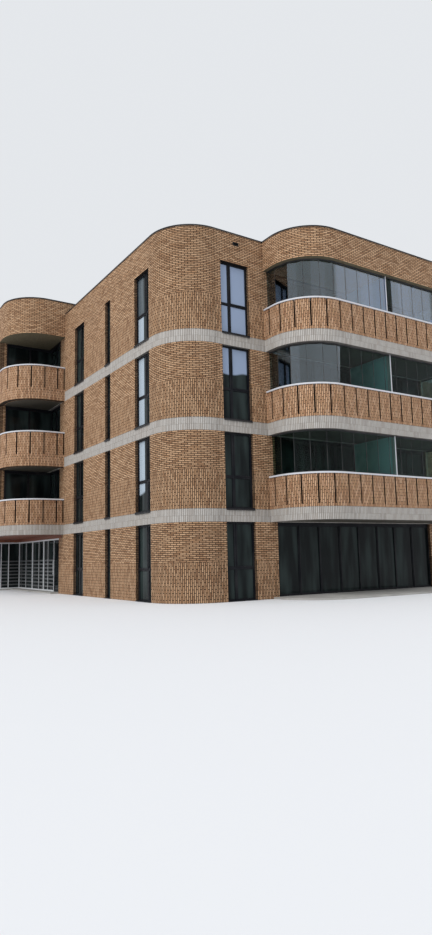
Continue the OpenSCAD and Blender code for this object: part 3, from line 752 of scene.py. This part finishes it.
def copings():
    """Metal coping with a drip groove, carried round each parapet in lengths with joints."""
    parts, length, gap = [], 2.4, 0.004
    for face in FACES:
        depth = FACES[face][3]
        half = line_half(depth, 0.0)
        ends = [(-half, half)] if face in ("front", "back") else \
            [(-half, -BAY_HALF), (BAY_HALF, half)]
        for level in range(1, STOREYS):
            for start, end in ends:
                marks = np.linspace(start, end, max(1, round((end - start) / length)) + 1)
                for a, b in zip(marks[:-1], marks[1:]):
                    spots = wing_spots(a + gap / 2, b - gap / 2)
                    points = sweep(face, 0.0, spots, COPING_PROFILE, level * STOREY + PARAPET_H)
                    parts.append((points, tube_faces(len(spots), len(COPING_PROFILE))))
    points, faces = join(parts)
    piece = mesh_piece("parapet_coping", points, faces, "coping")
    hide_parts("copings")


# Places of the windows: functions of (along, deep, up) that give points in the frame's axes

def wall_place_at(sx, sy, on_side):
    """Distances from one corner of the block, along a front wall or a side wall."""
    def place(along, deep, up):
        along, deep, up = np.broadcast_arrays(along, deep, up)
        if on_side:
            return np.stack([sx * (HALF_W - deep), sy * (HALF_L - along), up], -1)
        return np.stack([sx * (HALF_W - along), sy * (HALF_L - deep), up], -1)
    return place


def bay_front_at(sx):
    """Distances from the middle of a side wing's front, along it."""
    def place(along, deep, up):
        along, deep, up = np.broadcast_arrays(along, deep, up)
        return np.stack([sx * (HALF_W + SIDE_D - deep), along, up], -1)
    return place


def bay_side_at(sx, sy):
    """Distances from the inner end of a bay's side wall, outwards along it."""
    def place(along, deep, up):
        along, deep, up = np.broadcast_arrays(along, deep, up)
        return np.stack([sx * (HALF_W - BAY_WALL_IN + along), sy * (BAY_HALF - deep), up], -1)
    return place


CASEMENT = [(-0.028, -0.014), (-0.028, -0.001), (0.0, -0.001), (0.0, 0.022), (0.014, 0.022),
            (0.018, 0.004), (0.014, -0.014)]
BEAD = [(0.0, 0.006), (0.0, 0.024), (0.010, 0.024), (0.014, 0.014), (0.010, 0.006)]
SILL = [(0.11, 0.018), (-0.028, 0.006), (-0.0295, -0.050), (-0.0265, -0.050), (-0.0245, 0.002),
        (0.11, 0.002)]
LOW_SILL = [(0.11, 0.018), (-0.028, 0.006), (-0.0295, 0.002), (0.11, 0.002)]
CORNERS = [(sx, sy) for sx in (-1, 1) for sy in (-1, 1)]
# Closing strips: half width, and the distances of both faces from the wall
CLOSING_STRIPS = ((0.026, GLASS_AT - 0.133, GLASS_AT - 0.012),
                  (0.020, GLASS_AT + 0.022, GLASS_AT + 0.038))


def window_spots():
    """Every window as (place, near side, far side, start of its upright bar, storey)."""
    spots = []
    for level in range(STOREYS):
        for sx, sy in CORNERS:
            spots.append((wall_place_at(sx, sy, False), *FRONT_WINDOW, level))
            for window in SIDE_WINDOWS:
                spots.append((wall_place_at(sx, sy, True), *window, level))
        if level:
            for sx in (-1, 1):
                spots.append((bay_front_at(sx), *BAY_WINDOW, level))
    return spots


def shifted(place, along, deep, up):
    """The same place with its three distances moved on."""
    return lambda a, d, z: place(a + along, d + deep, z + up)


def window_sashes():
    """A casement in the wide upper light of each window and beads in its other lights."""
    parts = []
    for place, near, far, first, level in window_spots():
        at = shifted(place, near, REVEAL, level * STOREY)
        wide = far - near
        lights = [(BAR, first), (first + MULLION, wide - BAR)] if first else [(BAR, wide - BAR)]
        widest = max(lights, key=lambda light: light[1] - light[0])
        for x0, x1 in lights:
            parts.append(ring(at, x0, x1, BAR, TRANSOM[0], BEAD))
            opens = first and (x0, x1) == widest
            parts.append(ring(at, x0, x1, TRANSOM[1], OPENING_H - BAR,
                              CASEMENT if opens else BEAD))
    mesh_piece("window_sashes", *join(parts), "frame")


def window_sills():
    """Bent metal sheet under each window, with a lip over the band except at the ground."""
    parts, clear = [], 0.002
    for place, near, far, _, level in window_spots():
        at = shifted(place, 0.0, 0.0, level * STOREY)
        parts.append(strip(at, near + clear, far - clear, SILL if level else LOW_SILL))
    mesh_piece("window_sills", *join(parts), "trim")


def door_sashes():
    """Sliding sashes and beads in turn, in the lights of the tall balcony glazing."""
    parts = []

    def lights(place, start, length, count, level):
        foot = 0.0 if level else GROUND
        step = (length - BAR) / count
        at = shifted(place, start, REVEAL, level * STOREY)
        for i in range(count):
            profile = CASEMENT if i % 2 else BEAD
            parts.append(ring(at, i * step + BAR, (i + 1) * step, foot + BAR,
                              OPENING_H - DOOR_HEAD, profile))

    for level in range(STOREYS):
        for sy in (-1, 1):
            lights(wall_place_at(-1, sy, False), *FRONT_GLAZING, level)
        if level:
            for sx, sy in CORNERS:
                lights(wall_place_at(sx, sy, True), *CORNER_GLAZING, level)
                lights(shifted(bay_side_at(sx, sy), 0.0, -REVEAL, 0.0), *BAY_GLAZING, level)
    mesh_piece("balcony_door_sashes", *join(parts), "frame")


def closing_strips():
    """Pale upright strips where each privacy screen meets the balcony glass, on both sides.

    Each is a rectangle with its corners cut off by c, carried straight up.
    """
    c, clear = 0.004, 0.004
    parts = []
    for w, near, far in CLOSING_STRIPS:
        section = [(-w, near + c), (-w + c, near), (w - c, near), (w, near + c),
                   (w, far - c), (w - c, far), (-w + c, far), (-w, far - c)]
        for sy in (-1, 1):
            for level in range(1, STOREYS):
                low = level * STOREY + PARAPET_H + COPING_H + clear
                high = level * STOREY + OPENING_H - clear
                points = np.array([[(x, sy * (HALF_L + y), z) for x, y in section]
                                   for z in (low, high)])
                parts.append(outward(points, tube_faces(2, len(section))))
    mesh_piece("closing_strips", *join(parts), "coping")


def entrance_at(along, deep, up):
    """Distances along the entrance screen from its front end, and into the block."""
    along, deep, up = np.broadcast_arrays(along, deep, up)
    return np.stack([deep + REVEAL - HALF_W, along - SCREEN_HALF, up], -1)


def pipe(place, x, path, radius, sides=12):
    """A round tube along a path of (deep, up) points in one upright plane.

    Point j of ring i is the path's point, moved r cos(j) sideways and r sin(j) along the
    normal of the path there.
    """
    path = np.asarray(path, float)
    lead = np.gradient(path, axis=0)
    lead /= np.linalg.norm(lead, axis=1, keepdims=True)
    turn = np.linspace(0, 2 * math.pi, sides, endpoint=False)
    off = radius * np.sin(turn)[None, :]
    deep = path[:, :1] - lead[:, 1:] * off
    up = path[:, 1:] + lead[:, :1] * off
    along = x + radius * np.cos(turn)[None, :] + np.zeros_like(deep)
    return outward(place(along, deep, up), tube_faces(len(path), sides))


def bend_path(corners, radius, steps=6):
    """Points along a path of straight lengths joined by arcs of one radius."""
    corners = np.asarray(corners, float)
    points = [corners[0]]
    for before, at, after in zip(corners[:-2], corners[1:-1], corners[2:]):
        a = (before - at) / np.linalg.norm(before - at)
        b = (after - at) / np.linalg.norm(after - at)
        t = np.linspace(0, math.pi / 2, steps + 1)[:, None]
        points += list(at + radius * (a * (1 - np.sin(t)) + b * (1 - np.cos(t))))
    return np.array(points + [corners[-1]])


def entrance_door_fittings():
    """Pull bar, and a bead round the glass of the entrance door."""
    x0, x1, z0, z1 = LEAF
    foot, head, start, stand = 0.80, 1.45, 0.002, -0.055
    from_side, bend, radius = 0.035, 0.03, 0.013
    bar = bend_path([(start, foot), (stand, foot), (stand, head), (start, head)], bend)
    mesh_piece("door_pull", *pipe(entrance_at, x1 - from_side, bar, radius), "entrance_metal",
               "door")
    bead = [(0.0, 0.003), (0.0, 0.012), (0.014, 0.012), (0.020, 0.008), (0.016, 0.003)]
    edge = 0.07
    mesh_piece("door_bead", *ring(entrance_at, x0 + edge, x1 - edge, z0 + edge, z1 - edge, bead),
               "frame", "door")


def glass_seals():
    """Slim upright seals in the joints of the balcony glass.

    The joints stand at equal steps on the straight and at equal angles round the corner,
    where a seal is turned to the direction between its two panels.
    """
    flat, r = WING_HALF - CORNER_R, CORNER_R - GLASS_IN
    turn = np.concatenate([np.zeros(STRAIGHT_JOINTS),
                           np.linspace(0, math.pi / 2, ARC_PANELS + 1)[1:]])
    u = np.concatenate([FIRST_JOINT + PANEL_W * np.arange(STRAIGHT_JOINTS),
                        flat + r * np.sin(turn[STRAIGHT_JOINTS:])])
    u[STRAIGHT_JOINTS - 1] = flat
    v = FRONT_D - CORNER_R + r * np.cos(turn)
    half, deep = 0.007, 0.008
    section = np.array([(-half, -deep), (half, -deep), (half, deep), (-half, deep)])
    parts = []
    for sx, sy in CORNERS:
        for ui, vi, t in zip(u, v, turn):
            x = ui + section[:, 0] * math.cos(t) + section[:, 1] * math.sin(t)
            y = vi - section[:, 0] * math.sin(t) + section[:, 1] * math.cos(t)
            for level in range(1, STOREYS):
                low = level * STOREY + PARAPET_H + COPING_H + RAIL_H
                high = level * STOREY + OPENING_H - RAIL_H
                points = np.array([np.stack([sx * x, sy * (HALF_L + y), np.full(4, z)], -1)
                                   for z in (low, high)])
                parts.append(outward(points, tube_faces(2, 4)))
    mesh_piece("glass_seals", *join(parts), "rail")


copings()
glass_seals()
window_sashes()
window_sills()
door_sashes()
closing_strips()
entrance_door_fittings()


# Finishes of the frame's own nodes

for entry in frame["record"]["subparts"]:
    node = frame["nodes"][entry["node"]]
    slots = node.data.materials
    material = MATERIALS[entry["material_slot"]]
    if len(slots) == 0:
        slots.append(material)
    for i in range(len(slots)):
        slots[i] = material


# Floor, light and camera

def stage_floor():
    """Wide plain floor just under the block."""
    reach, under = 400.0, 0.002
    points = np.array([[-reach, -reach, 0], [reach, -reach, 0], [reach, reach, 0],
                       [-reach, reach, 0]]) - [0, 0, under]
    mesh = bpy.data.meshes.new("floor")
    mesh.from_pydata(points.tolist(), [], [[0, 1, 2, 3]])
    floor = bpy.data.objects.new("floor", mesh)
    bpy.context.scene.collection.objects.link(floor)
    material, _, shader = new_material("floor paint")
    shader["Base Color"].default_value = srgb(226, 227, 229)
    shader["Roughness"].default_value = 0.9
    mesh.materials.append(material)


def studio_light():
    """Pale world all round, and one broad lamp high on the left."""
    world = bpy.data.worlds.new("studio")
    bpy.context.scene.world = world
    world.use_nodes = True
    back = world.node_tree.nodes["Background"].inputs
    back["Color"].default_value = srgb(236, 239, 243)
    back["Strength"].default_value = 0.93
    lamp = bpy.data.lights.new("broad lamp", "SUN")
    lamp.energy = 1.75
    lamp.angle = math.radians(40)
    holder = bpy.data.objects.new("broad lamp", lamp)
    holder.rotation_euler = Euler((math.radians(48), 0, math.radians(-72)))
    holder.visible_glossy = False
    holder.visible_transmission = False
    bpy.context.scene.collection.objects.link(holder)


def camera_at_photo():
    """Camera solved from the photograph: place, three turns and focal length."""
    camera = bpy.data.cameras.new("camera")
    camera.sensor_width = 36.0
    camera.lens = 25.11
    camera.clip_end = 1000.0
    holder = bpy.data.objects.new("camera", camera)
    yaw, pitch, roll = 0.5751, 0.1368, -0.023
    ahead = Vector((math.sin(yaw) * math.cos(pitch), math.cos(yaw) * math.cos(pitch),
                    math.sin(pitch)))
    turn = ahead.to_track_quat("-Z", "Y").to_matrix()
    holder.rotation_euler = (turn @ Euler((0, 0, roll)).to_matrix()).to_euler()
    holder.location = (-17.8512, -32.0134, 1.4291)
    bpy.context.scene.collection.objects.link(holder)
    bpy.context.scene.camera = holder


stage_floor()
studio_light()
camera_at_photo()
bpy.context.scene.view_settings.view_transform = "Standard"
